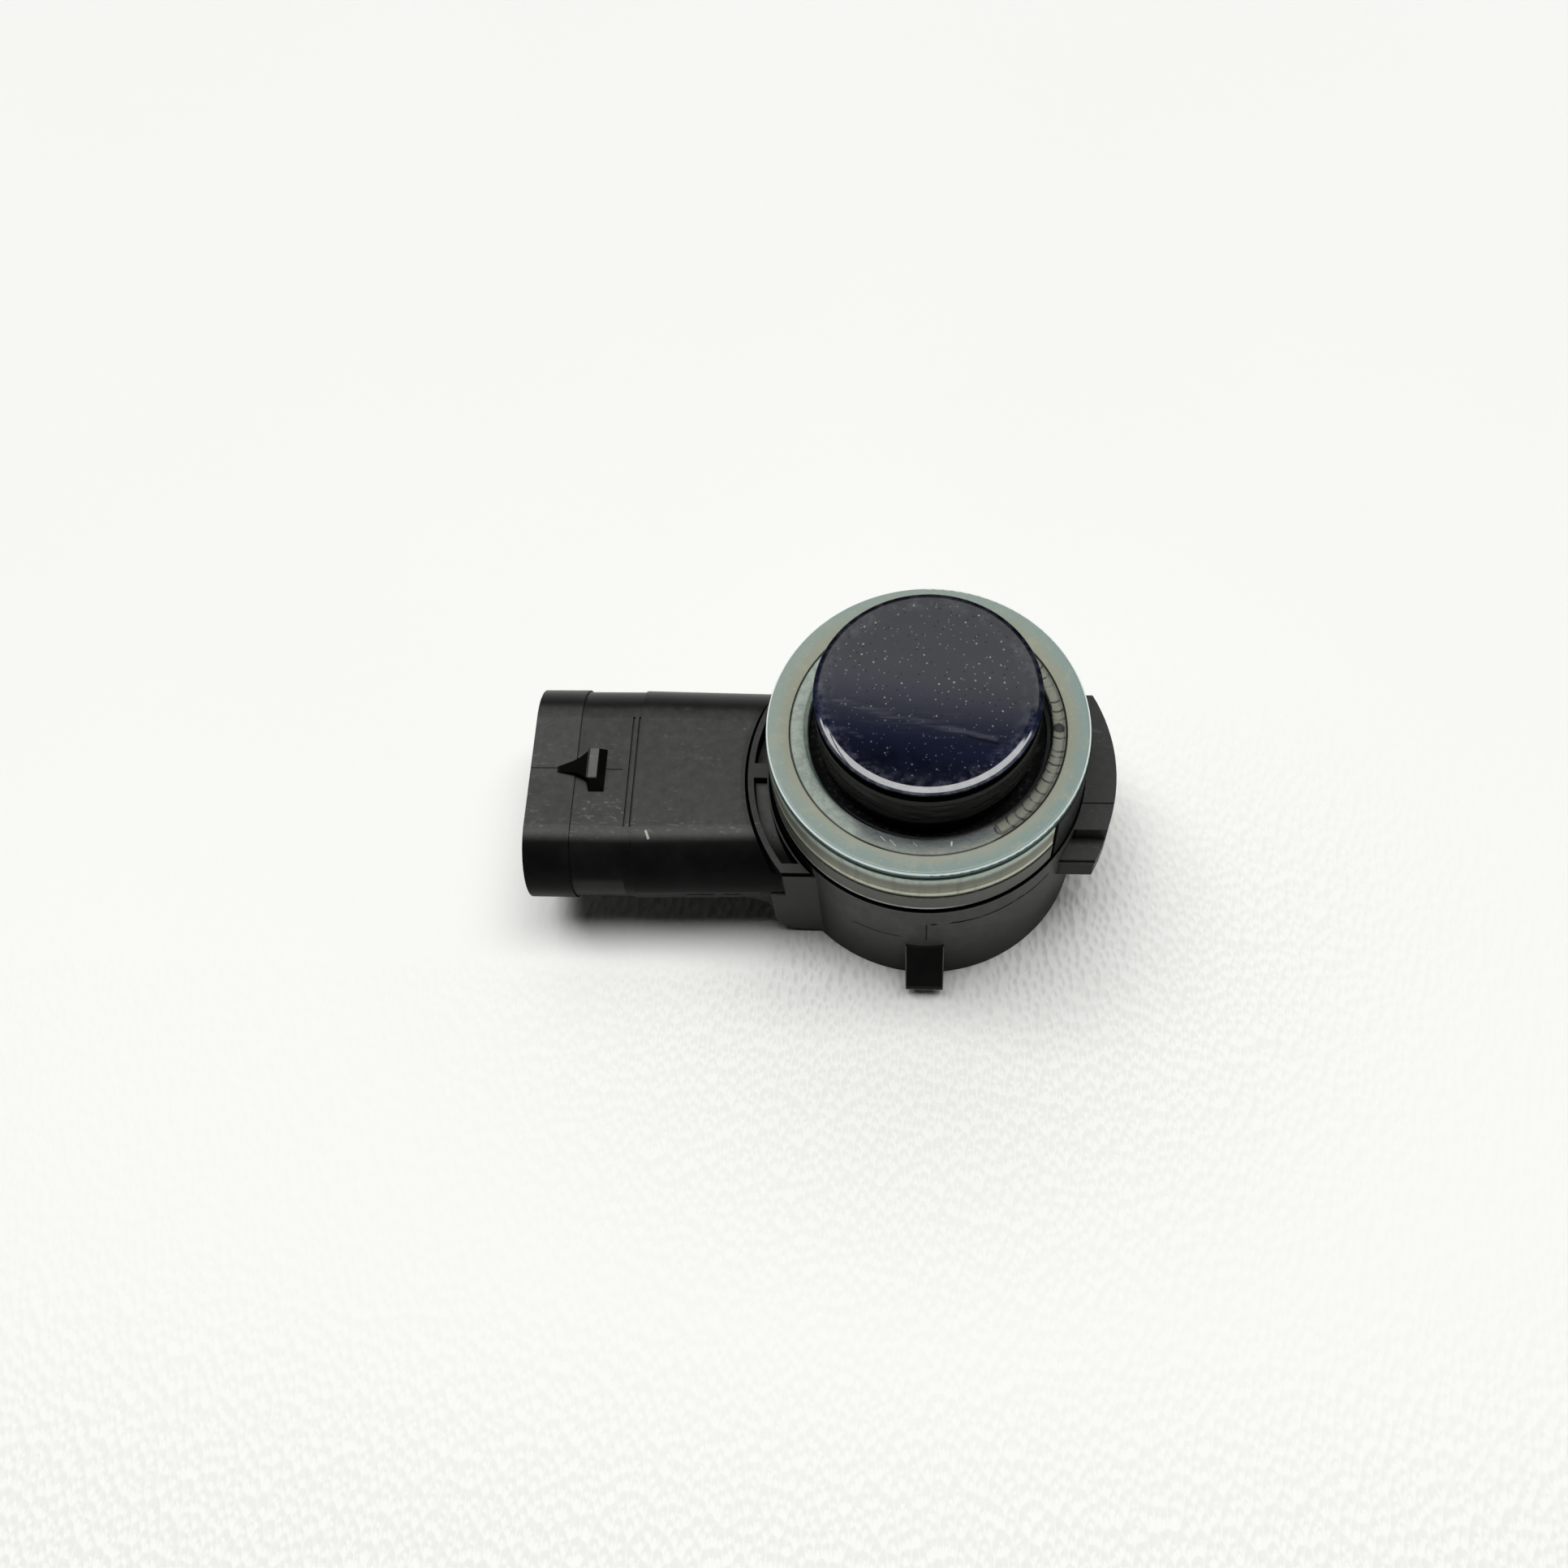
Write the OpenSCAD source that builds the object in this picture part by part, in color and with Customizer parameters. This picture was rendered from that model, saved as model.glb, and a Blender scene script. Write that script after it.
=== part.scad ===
// Ultrasonic parking sensor. Millimetres, +Z along the sensing axis, rear face on z = 0,
// connector socket pointing along -X.

/* [Barrel] */
// Outer radius of the barrel
barrel_r = 11.55; // [10.5:0.05:12.6]
// Height of the barrel wall above the rear face
barrel_h = 12.8; // [12.5:0.05:15]
// Thickness of the barrel wall
barrel_wall = 1.7; // [1.4:0.05:2]
// Thickness of the rear cover
cover_t = 1.7; // [1.2:0.1:2]
// Depth of the ring groove in the rear cover
cover_groove = 0.35; // [0.1:0.05:0.6]

/* [Transducer] */
// Radial room between the wall of the painted membrane cup and the outside of the barrel
cup_room = 3.8; // [3.55:0.05:4.2]
// Height of the cup face above the decoupling ring
cup_stand = 4.9; // [4:0.05:7]
// Radial width of the sloped rim of the cup face
rim_w = 0.6; // [0.3:0.05:0.8]
// Drop of the sloped rim below the cup face
rim_drop = 0.12; // [0.05:0.01:0.2]
// How far the painted head of the cup stands out over its foot
cup_lip = 0.45; // [0.35:0.05:0.6]
// Thickness of the cup wall
cup_wall = 0.85; // [0.6:0.05:1.1]
// Thickness of the vibrating membrane
membrane_t = 0.9; // [0.5:0.05:1.2]
// How far the two flat sides of the hollow in the cup lie inside its radius
hollow_flat = 1.05; // [0.6:0.05:1.5]
// Radius of the piezo disc
piezo_r = 3.9; // [3:0.1:4.2]
// Thickness of the piezo disc
piezo_t = 0.6; // [0.3:0.05:1]

/* [Decoupling ring] */
// Height from the barrel rim to the top of the ring
ring_h = 6.34; // [5.5:0.05:7.3]
// How far the top edge of the ring lies inside the barrel radius
ring_inset = 0.21; // [0.05:0.01:0.35]
// Gap between the skirt of the ring and the barrel rim
skirt_gap = 0.35; // [0.2:0.05:0.6]
// Width of the open groove between cup and ring
foot_gap = 0.6; // [0.4:0.05:0.8]
// How far the sealing bead was laid off centre towards the front
bead_shift = 0.25; // [0:0.05:0.3]
// Half angle of the notch in the skirt
notch_half = 40; // [30:1:44]

/* [Connector socket] */
// Distance from the sensing axis to the socket mouth
plug_reach = 29.9; // [28.5:0.1:33]
// Width of the socket shell
plug_w = 16.95; // [16.6:0.05:18]
// Height of the socket shell
plug_h = 7.95; // [7.7:0.05:8.3]
// Height of the socket centre above the rear face
plug_z = 7.52; // [7.2:0.05:7.9]
// Wall of the socket shell
plug_wall = 1.2; // [1:0.05:1.4]
// Depth of the socket
plug_depth = 12.6; // [10.5:0.1:13.5]
// Length of the full size collar at the mouth
collar_len = 3.48; // [3:0.05:3.9]
// Length of the recessed waist behind the collar
waist_len = 3.99; // [3.6:0.05:4.6]
// Depth of the waist below the collar
waist_in = 0.14; // [0.08:0.01:0.25]
// Distance between the two fine grooves behind the waist
groove_w = 0.61; // [0.3:0.05:0.9]
// Draft of the neck on each side, towards the barrel
neck_draft = 1.3; // [0:0.1:2]
// Distance between the terminal blades
pin_pitch = 3; // [2.5:0.1:3.6]
// Width of a terminal blade
pin_w = 1.2; // [0.8:0.05:1.5]
// Thickness of a terminal blade
pin_t = 0.64; // [0.5:0.02:0.8]
// How far the blade tips lie behind the mouth
pin_setback = 5.4; // [5.1:0.1:7]

/* [Latch nose] */
// Height of the latch nose above the socket shell
latch_h = 1.22; // [0.8:0.05:1.6]
// Width of the latch nose at its top
latch_w = 2.4; // [1.8:0.1:3]
// Distance from the mouth to the catch edge of the latch
latch_back = 5.38; // [5:0.05:5.8]

/* [Flange and lugs] */
// How far the pocketed flange stands out from the barrel
flange_out = 1.75; // [1.6:0.05:2.2]
// Half width of the flange and its neck block
flange_half = 8.35; // [8:0.05:8.5]
// Height of the flange above the socket shell
flange_step = 0.17; // [0.1:0.01:0.4]
// Radial width of the flange pockets
pocket_w = 1; // [0.6:0.05:1.15]
// Depth of the flange pockets at their deep end
pocket_d = 2.4; // [1.2:0.1:3]
// Width of the rib between the two pockets
pocket_rib = 1.2; // [0.8:0.1:2]
// How far the stepped arc lug stands out from the barrel
lug_out = 2.25; // [1.65:0.05:2.85]
// Reach of the arc lug to the front
lug_front = 6.6; // [6.3:0.05:7]
// Drop from the upper to the lower plate of the arc lug
lug_drop = 1.7; // [1:0.05:2]
// Width of the snap lugs
snap_w = 2.85; // [2:0.05:3.6]
// How far the snap lugs stand out from the barrel
snap_reach = 1.8; // [1.2:0.05:2.2]

/* [Electronics] */
// Thickness of the circuit board
board_t = 1; // [0.8:0.1:1.2]
// Radius of the lead wires
lead_r = 0.28; // [0.2:0.02:0.34]
// Radius of the transformer drum
drum_r = 3.2; // [2.8:0.1:3.3]
// Height of the transformer drum
drum_h = 5.2; // [4:0.1:5.4]
// Radius of the storage capacitor
can_r = 2; // [1.5:0.1:2.1]
// Height of the storage capacitor
can_h = 5.4; // [4:0.1:5.8]
// Length of the control chip
chip_l = 5.2; // [4:0.1:5.4]
// Width of the control chip
chip_w = 3.4; // [2.6:0.1:3.6]
// Height of the control chip
chip_t = 1.4; // [0.8:0.1:1.8]
// Length of the small capacitors and resistors
chip_part_l = 1.6; // [1:0.1:1.7]
// Width of the small capacitors and resistors
chip_part_w = 0.8; // [0.5:0.05:0.9]

/* [Hidden] */
$fn = 64;

// Clearance between pieces that sit in one another
slip = 0.05;

// Barrel and its inner spaces
cavity_r = barrel_r - barrel_wall;
seat_r = cavity_r + 0.4;
seat_z = cover_t;
wall_top = barrel_h - 0.15;
wall_low = barrel_h - 1.25;
neck_out = barrel_r - 1.35;
neck_in = neck_out - 0.9;
wire_hole_r = 2.2;

// Levels of the transducer stack
ring_top = barrel_h + ring_h;
neck_top = ring_top - 1.94;
carrier_top = wall_top + 1.2;
cup_top = ring_top + cup_stand;
cup_r = barrel_r - cup_room;
cup_low_r = cup_r - cup_lip;
cup_shoulder = ring_top + 0.46;
cup_edge = 0.05;
hollow_top = cup_top - membrane_t;
hollow_r = cup_low_r - cup_wall;
hollow_half = hollow_r - hollow_flat;
piezo_low = hollow_top - piezo_t;
foam_low = carrier_top + 1;
carrier_in = 4.5;
signal_x = 1.5;
ground_x = -hollow_r + 0.75;

// Decoupling ring
ring_r = barrel_r - ring_inset;
foot_r = cup_r + foot_gap;
bead_out = barrel_r - 1.9;
bead_floor = ring_top - 0.64;
flange_low = ring_top - 0.52;
skirt_top = ring_top - 0.76;
skirt_low = barrel_h + skirt_gap;
skirt_step = skirt_low + 2.15;

// Connector socket
plug_top = plug_z + plug_h / 2;
collar_x = -plug_reach + collar_len;
waist_x = collar_x + waist_len;
groove_x = waist_x + groove_w;
socket_floor = -plug_reach + plug_depth;
pin_tip = -plug_reach + pin_setback;

// Flange, neck block and lugs
flange_r = barrel_r + flange_out;
flange_top = plug_top + flange_step;
pocket_in = barrel_r + 0.3;
pocket_end = flange_half - 0.85;
block_x = barrel_r - 0.05;
block_low = 0.5;
block_round = 2.4;
block_fillet = 2.4;
block_high = plug_z - 1.22;
lug_r = barrel_r + lug_out;
lug_top = barrel_h - 0.56;
lug_low = lug_top - 3.94;
lug_back = lug_front - 0.35;
snap_top = 6.2;
snap_low = 1.15;

// Circuit board
board_low = seat_z + 1.7;
board_top = board_low + board_t;
board_r = cavity_r - 0.15;
pin_leg = -board_r + 2.3;
tail_low = board_low - 0.35;
potting_top = tail_low - slip;
base_t = 0.5;

// Spots of the parts on the board, as shares of its radius: x, y and a turn where there is one
drum_spot = [0.433, 0.309];
can_spot = [0.454, -0.474];
chip_spot = [-0.309, -0.454];
signal_pad = [0.062, -0.155];
ground_pad = [-0.186, 0.186];
capacitor_spots = [[-0.505, 0.443, 0], [-0.268, 0.639, 30], [0, 0.784, 0]];
resistor_spots = [[0.041, -0.804, 0], [0.763, -0.18, 90], [-0.536, -0.093, 0], [-0.557, 0.247, 0]];
diode_spots = [[-0.227, 0.423, 0], [0.124, -0.433, 90]];

// A spot of the board in millimetres, at a height above its upper face
function on_board(spot, above = 0) = [board_r * spot[0], board_r * spot[1], board_top + above];

// Cross-section of the socket shell, drawn in from its full size
module stadium(w, h) {
    square([w - h, h], center = true);
    translate([-(w - h) / 2, 0]) circle(r = h / 2);
    translate([(w - h) / 2, 0]) circle(r = h / 2);
}

// A length of socket shell along X
module shell_run(x0, x1, inset) {
    translate([x0, 0, plug_z]) rotate([90, 0, 90])
        linear_extrude(height = x1 - x0) stadium(plug_w - 2 * inset, plug_h - 2 * inset);
}

// Neck behind the waist: what two shells, each turned a little inwards, have in common
module drafted_neck() {
    intersection() {
        translate([groove_x, 0, 0]) rotate([0, 0, neck_draft]) translate([-groove_x, 0, 0])
            shell_run(groove_x - 1, 0, 0.04);
        translate([groove_x, 0, 0]) rotate([0, 0, -neck_draft]) translate([-groove_x, 0, 0])
            shell_run(groove_x - 1, 0, 0.04);
        translate([groove_x, -15, 0]) cube([-5 - groove_x, 30, 20]);
    }
}

// Two fine grooves across the flat top, where waist and neck meet
module top_grooves() {
    for (x = [waist_x, groove_x - 0.16])
        translate([x, -(plug_w - plug_h) / 2 - 0.1, plug_top - waist_in - 0.22])
            cube([0.16, plug_w - plug_h + 0.2, 1]);
}

// Narrow gaps along both arcs of the flange: into the neck outside, along the barrel wall inside
module flange_gaps() {
    intersection() {
        union() {
            tube(flange_r, flange_r + 0.22, plug_top - 0.8, plug_top + 1);
            tube(barrel_r, barrel_r + 0.14, flange_top - 0.6, flange_top + 1);
        }
        translate([-20, -flange_half, 0]) cube([20, 2 * flange_half, 30]);
    }
}

// A wedge around +X between two angles
module wedge(half_angle, reach, z0, z1) {
    translate([0, 0, z0]) linear_extrude(height = z1 - z0)
        polygon([[0, 0], [reach, -reach * tan(half_angle)], [reach, reach * tan(half_angle)]]);
}

// A hollow round wall
module tube(r_in, r_out, z0, z1) {
    difference() {
        translate([0, 0, z0]) cylinder(r = r_out, h = z1 - z0);
        translate([0, 0, z0 - 1]) cylinder(r = r_in, h = z1 - z0 + 2);
    }
}

// Side view of the neck block with its rounded foot
module block_profile() {
    difference() {
        translate([-block_x, block_low]) square([block_x, plug_z - block_low]);
        translate([-block_x - 1, block_low - 1]) square([1 + block_round, 1 + block_round]);
    }
    translate([-block_x + block_round, block_low + block_round]) circle(r = block_round);
}

// Side view of the fillet that leads from the neck block up to the socket shell
module fillet_profile() {
    difference() {
        translate([-block_x - block_fillet, block_high - block_fillet])
            square([block_fillet + 1, block_fillet + 0.5]);
        translate([-block_x - block_fillet, block_high - block_fillet]) circle(r = block_fillet);
    }
}

module neck_block() {
    rotate([90, 0, 0]) linear_extrude(height = 2 * flange_half, center = true) block_profile();
    rotate([90, 0, 0]) linear_extrude(height = 2 * flange_half - 0.6, center = true) fillet_profile();
}

// A layer of the crescent flange
module flange_layer(half, z0, z1) {
    intersection() {
        translate([0, 0, z0]) cylinder(r = flange_r, h = z1 - z0);
        translate([-20, -half, 0]) cube([20, 2 * half, 30]);
    }
}

// Crescent flange over the socket shell, its plate set back from a small ledge at both ends
module flange_plate() {
    flange_layer(flange_half, block_high - 1, flange_top - 0.37);
    flange_layer(flange_half - 0.12, flange_top - 1, flange_top);
}

// One of the two mirrored pockets in the flange, its floor falling away from the middle rib
module flange_pocket() {
    intersection() {
        tube(pocket_in, pocket_in + pocket_w, flange_top - pocket_d - 1, flange_top + 1);
        translate([-20, 0, 0]) rotate([90, 0, 90]) linear_extrude(height = 20)
            polygon([[-pocket_end, flange_top + 2], [-pocket_end, flange_top - pocket_d],
                [-pocket_rib / 2, flange_top - pocket_d * 0.4], [-pocket_rib / 2, flange_top + 2]]);
    }
}

// Arc lug with a low plate at its front end
module arc_lug() {
    difference() {
        intersection() {
            translate([0, 0, lug_low]) cylinder(r = lug_r, h = lug_top - lug_low);
            translate([5, -lug_front, 0]) cube([20, lug_front + lug_back, 30]);
        }
        translate([5, -20, lug_top - 0.12]) cube([20, 17.4, 5]);
        translate([5, -20, lug_top - lug_drop]) cube([20, 15.3, 5]);
        translate([5, -20, lug_top - lug_drop - 0.35]) cube([20, 20 - lug_front + 0.2, 5]);
    }
}

// Snap lug on the front of the barrel: ramp above, catch face below
module snap_lug() {
    rotate([90, 0, -90]) linear_extrude(height = snap_w, center = true)
        polygon([[barrel_r - 1, snap_low], [barrel_r + snap_reach, snap_low],
            [barrel_r + snap_reach, snap_low + 0.8], [barrel_r - 0.1, snap_top], [barrel_r - 1, snap_top]]);
}

// Latch nose: a ramp that rises from the collar to a flared block
module latch_nose() {
    catch_x = -plug_reach + latch_back;
    low = plug_top - 0.6;
    intersection() {
        rotate([90, 0, 0]) linear_extrude(height = 8, center = true)
            polygon([[catch_x - 3.3, low], [catch_x - 3.3, plug_top], [catch_x - 0.85, plug_top + latch_h - 0.2],
                [catch_x - 0.7, plug_top + latch_h - 0.2], [catch_x - 0.7, low]]);
        translate([0, 0, low]) linear_extrude(height = 4)
            polygon([[catch_x - 3.3, -0.25], [catch_x - 2, -0.48], [catch_x - 1.4, -0.72],
                [catch_x - 0.7, -latch_w / 2], [catch_x - 0.7, latch_w / 2], [catch_x - 1.4, 0.72],
                [catch_x - 2, 0.48], [catch_x - 3.3, 0.25]]);
    }
    intersection() {
        rotate([90, 0, 0]) linear_extrude(height = 8, center = true)
            polygon([[catch_x - 0.8, low], [catch_x - 0.8, plug_top + latch_h], [catch_x, plug_top + latch_h],
                [catch_x + 0.5, low]]);
        translate([catch_x - 3, 0, 0]) rotate([90, 0, 90]) linear_extrude(height = 6)
            polygon([[-latch_w / 2 - 0.75, low], [-latch_w / 2, plug_top + latch_h],
                [latch_w / 2, plug_top + latch_h], [latch_w / 2 + 0.75, low]]);
    }
}

// Upstanding wall that locks the decoupling ring against turning
module ring_key() {
    intersection() {
        union() {
            tube(neck_out - 0.4, barrel_r - 0.12, wall_top, neck_top);
            tube(neck_out + 0.15, barrel_r - 0.12, wall_top, skirt_top - 0.15);
        }
        wedge(notch_half - 2, 30, wall_top, ring_top);
    }
}

// Stops inside the barrel that the board is pressed against
module board_stops() {
    for (a = [90, 210, 330])
        intersection() {
            tube(cavity_r - 0.9, cavity_r + 0.3, board_top, wall_low + 0.3);
            rotate([0, 0, a]) translate([5, -0.8, 0]) cube([10, 1.6, 20]);
        }
}

// Coding ribs on the floor of the socket
module coding_ribs() {
    for (y = [-4.4, 4.4])
        translate([-plug_reach + 0.9, y - 0.4, plug_z - plug_h / 2 + 0.5])
            cube([plug_depth - 0.4, 0.8, plug_wall + 0.2]);
}

module housing_solid() {
    cylinder(r = barrel_r, h = barrel_h);
    translate([0, 0, wall_low]) cylinder(r = neck_out, h = neck_top - wall_low);
    shell_run(-plug_reach, collar_x, 0);
    shell_run(collar_x - 0.5, groove_x + 0.3, waist_in);
    drafted_neck();
    neck_block();
    flange_plate();
    arc_lug();
    snap_lug();
    mirror([0, 1, 0]) snap_lug();
    latch_nose();
    ring_key();
}

module pin_run(y, grow) {
    translate([pin_tip - grow, y - pin_w / 2 - grow, plug_z - pin_t / 2 - grow])
        cube([pin_leg + pin_t / 2 - pin_tip + 2 * grow, pin_w + 2 * grow, pin_t + 2 * grow]);
}

module housing_hollow() {
    translate([0, 0, -1]) cylinder(r = seat_r, h = seat_z + 1);
    translate([0, 0, seat_z - 0.5]) cylinder(r = cavity_r, h = wall_low - seat_z + 0.5);
    translate([0, 0, wall_low - 1]) cylinder(r = wire_hole_r, h = 3);
    translate([0, 0, wall_top]) cylinder(r = neck_in, h = 20);
    translate([-plug_reach - 1, 0, plug_z]) rotate([90, 0, 90])
        linear_extrude(height = plug_depth + 1) stadium(plug_w - 2 * plug_wall, plug_h - 2 * plug_wall);
    for (y = [-pin_pitch, 0, pin_pitch]) pin_run(y, slip);
    flange_pocket();
    mirror([0, 1, 0]) flange_pocket();
    flange_gaps();
    top_grooves();
}

module housing() {
    color([0.12, 0.12, 0.125]) {
        difference() {
            housing_solid();
            housing_hollow();
        }
        board_stops();
        coding_ribs();
    }
}

module rear_cover() {
    color([0.14, 0.14, 0.145]) difference() {
        cylinder(r = seat_r - slip, h = cover_t);
        tube(4, seat_r - 2.6, -1, cover_groove);
    }
}

// Half section of the cup: foot, overhanging head, and a face whose rim slopes away in two cones
module cup_profile() {
    slope_r = cup_r - cup_edge;
    polygon([[0, carrier_top], [cup_low_r, carrier_top], [cup_low_r, cup_shoulder], [cup_r, cup_shoulder],
        [cup_r, cup_top - rim_drop - cup_edge], [slope_r, cup_top - rim_drop],
        [slope_r - rim_w / 2, cup_top - rim_drop * 0.36], [slope_r - rim_w, cup_top], [0, cup_top]]);
}

// Oval hollow of the cup, wider to the sides than in height
module cup_hollow(grow, z0, z1) {
    intersection() {
        translate([0, 0, z0]) cylinder(r = hollow_r - grow, h = z1 - z0);
        translate([-20, -hollow_half + grow, z0 - 1]) cube([40, 2 * (hollow_half - grow), z1 - z0 + 2]);
    }
}

module membrane_cup() {
    color([0.07, 0.075, 0.13]) difference() {
        rotate_extrude() cup_profile();
        cup_hollow(0, carrier_top - 1, hollow_top);
    }
}

// Half section of the decoupling ring: flange on top, skirt outside, sleeve inside the neck
module ring_profile() {
    edge = 0.25;
    polygon([[cup_low_r + slip, carrier_top], [neck_in - slip, carrier_top], [neck_in - slip, neck_top],
        [neck_out + 0.08, neck_top], [neck_out + 0.08, skirt_low], [barrel_r - 0.12, skirt_low],
        [barrel_r - 0.08, skirt_step], [barrel_r - 0.14, skirt_step + 0.1], [barrel_r - 0.15, skirt_top],
        [ring_r - 0.2, skirt_top + 0.06], [ring_r - 0.2, flange_low - 0.06], [ring_r, flange_low],
        [ring_r, ring_top - edge], [ring_r - edge, ring_top - edge], [ring_r - edge, ring_top],
        [foot_r, ring_top], [foot_r, bead_floor - 0.9], [cup_low_r + slip, bead_floor - 1.2]]);
    translate([ring_r - edge, ring_top - edge]) circle(r = edge);
}

module decoupling_ring() {
    color([0.55, 0.63, 0.58, 0.8]) difference() {
        rotate_extrude() ring_profile();
        translate([0, -bead_shift, bead_floor]) cylinder(r = bead_out + slip, h = 5);
        difference() {
            wedge(notch_half, 30, skirt_low - 1, skirt_top);
            translate([0, 0, skirt_low - 2]) cylinder(r = neck_out + 0.08, h = 30);
        }
    }
}

// Sealant in the recess of the ring, sagging a little to both edges
module sealing_bead() {
    color([0.6, 0.63, 0.58, 0.7]) difference() {
        translate([0, -bead_shift, 0]) rotate_extrude()
            polygon([[0, bead_floor], [bead_out, bead_floor], [bead_out, ring_top - 0.1],
                [bead_out - 0.08, ring_top - 0.03], [0, ring_top - 0.03]]);
        rotate_extrude()
            polygon([[0, bead_floor - 1], [foot_r + slip, bead_floor - 1], [foot_r + slip, ring_top - 0.25],
                [foot_r + 0.35, ring_top - 0.03], [foot_r + 0.35, ring_top + 1], [0, ring_top + 1]]);
    }
}

module transducer_carrier() {
    color([0.2, 0.2, 0.21]) difference() {
        tube(carrier_in, neck_in - slip, wall_top, carrier_top);
        for (a = [0, 120, 240]) rotate([0, 0, a + 30])
            translate([carrier_in - 0.5, -0.8, wall_top - 1]) cube([1.8, 1.6, 4]);
    }
}

module piezo_disc() {
    color([0.72, 0.68, 0.58]) translate([0, 0, piezo_low]) cylinder(r = piezo_r, h = piezo_t);
}

module damping_foam() {
    color([0.35, 0.36, 0.38]) difference() {
        cup_hollow(0.08, foam_low, piezo_low - slip);
        for (x = [signal_x, ground_x]) translate([x, 0, foam_low - 1]) cylinder(r = lead_r + 0.12, h = 20);
    }
}

// A round wire through a list of points
module wire(points, r) {
    for (i = [0 : len(points) - 2]) {
        d = points[i + 1] - points[i];
        translate(points[i]) rotate([0, acos(d[2] / norm(d)), atan2(d[1], d[0])]) cylinder(r = r, h = norm(d));
    }
    for (i = [1 : len(points) - 2]) translate(points[i]) sphere(r = r * 1.03);
}

module signal_lead() {
    color([0.6, 0.12, 0.1])
        wire([[signal_x, 0, piezo_low], [signal_x, 0, wall_low - 0.6], on_board(signal_pad, 1.6),
            on_board(signal_pad)], lead_r);
}

module ground_lead() {
    color([0.1, 0.1, 0.1])
        wire([[ground_x, 0, hollow_top], [ground_x, 0, foam_low - 0.2], [-1.4, 0, wall_top + 0.6],
            [-1.4, 0, wall_low - 0.6], on_board(ground_pad, 1.6), on_board(ground_pad)], lead_r);
}

module circuit_board() {
    color([0.05, 0.25, 0.14]) difference() {
        translate([0, 0, board_low]) cylinder(r = board_r, h = board_t);
        for (y = [-pin_pitch, 0, pin_pitch])
            translate([pin_leg, y, board_low - 1]) cylinder(r = 0.42 + pin_t / 3, h = board_t + 2);
    }
}

module control_chip() {
    color([0.06, 0.06, 0.06]) translate(on_board(chip_spot)) {
        translate([-chip_l / 2, -chip_w / 2, 0.15]) cube([chip_l, chip_w, chip_t]);
        for (i = [-1.5 : 1.5])
            translate([i * chip_l / 4 - 0.2, -chip_w / 2 - 0.8, 0]) cube([0.4, chip_w + 1.6, 0.3]);
    }
}

module transformer_base() {
    color([0.1, 0.1, 0.1]) translate(on_board(drum_spot)) intersection() {
        translate([-drum_r, -drum_r, 0]) cube([2 * drum_r, 2 * drum_r, base_t]);
        translate([0, 0, -1]) cylinder(r = drum_r + 0.55, h = base_t + 2);
    }
}

module transformer_core() {
    color([0.2, 0.2, 0.2]) translate(on_board(drum_spot, base_t)) {
        cylinder(r = drum_r, h = 0.8);
        cylinder(r = 1.2, h = drum_h);
        translate([0, 0, drum_h - 0.8]) cylinder(r = drum_r, h = 0.8);
    }
}

module transformer_winding() {
    color([0.7, 0.38, 0.18]) translate(on_board(drum_spot, base_t))
        tube(1.2 + slip, drum_r - 0.4, 0.8, drum_h - 0.8);
}

module storage_capacitor() {
    color([0.6, 0.6, 0.62]) translate(on_board(can_spot)) {
        cylinder(r = can_r, h = 0.6);
        cylinder(r = can_r - 0.15, h = 1);
        translate([0, 0, 0.8]) cylinder(r = can_r, h = can_h - 0.8);
    }
}

module chip_row(spots, l, w, h) {
    for (s = spots) translate(on_board(s, h / 2)) rotate([0, 0, s[2]]) cube([l, w, h], center = true);
}

module chip_capacitors() {
    color([0.62, 0.5, 0.35]) chip_row(capacitor_spots, chip_part_l, chip_part_w, chip_part_w);
}

module chip_resistors() {
    color([0.1, 0.1, 0.12]) chip_row(resistor_spots, chip_part_l, chip_part_w, 0.45);
}

module clamp_diodes() {
    color([0.08, 0.08, 0.08]) chip_row(diode_spots, 2.6, 1.4, 1);
}

// Terminal blade: flat run through the wall, leg down through the board
module terminal(y) {
    pin_run(y, 0);
    translate([pin_leg - pin_t / 2, y - 0.4, tail_low]) cube([pin_t, 0.8, plug_z - tail_low]);
}

module supply_pin() {
    color([0.75, 0.72, 0.66]) terminal(-pin_pitch);
}

module signal_pin() {
    color([0.75, 0.72, 0.66]) terminal(0);
}

module ground_pin() {
    color([0.75, 0.72, 0.66]) terminal(pin_pitch);
}

module potting_resin() {
    color([0.1, 0.11, 0.12]) translate([0, 0, seat_z]) cylinder(r = cavity_r - slip, h = potting_top - seat_z);
}

housing();
rear_cover();
membrane_cup();
decoupling_ring();
sealing_bead();
transducer_carrier();
piezo_disc();
damping_foam();
signal_lead();
ground_lead();
circuit_board();
control_chip();
transformer_base();
transformer_core();
transformer_winding();
storage_capacitor();
chip_capacitors();
chip_resistors();
clamp_diodes();
supply_pin();
signal_pin();
ground_pin();
potting_resin();
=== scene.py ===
"""Looks of the parking sensor: finishes, a rope of sealant, table, light and camera."""

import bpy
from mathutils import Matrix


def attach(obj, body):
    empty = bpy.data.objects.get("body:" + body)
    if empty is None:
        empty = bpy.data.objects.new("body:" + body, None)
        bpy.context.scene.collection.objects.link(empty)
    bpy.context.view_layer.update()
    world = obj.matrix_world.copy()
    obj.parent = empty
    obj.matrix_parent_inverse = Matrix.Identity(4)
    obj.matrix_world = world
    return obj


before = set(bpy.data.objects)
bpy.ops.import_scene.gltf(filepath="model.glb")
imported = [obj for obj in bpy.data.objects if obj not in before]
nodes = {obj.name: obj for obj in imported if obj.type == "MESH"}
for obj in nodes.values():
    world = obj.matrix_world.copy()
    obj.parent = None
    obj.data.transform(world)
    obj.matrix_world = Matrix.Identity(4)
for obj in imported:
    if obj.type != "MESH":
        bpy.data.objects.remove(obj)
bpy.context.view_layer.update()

from functools import reduce
import math
import bpy
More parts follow.
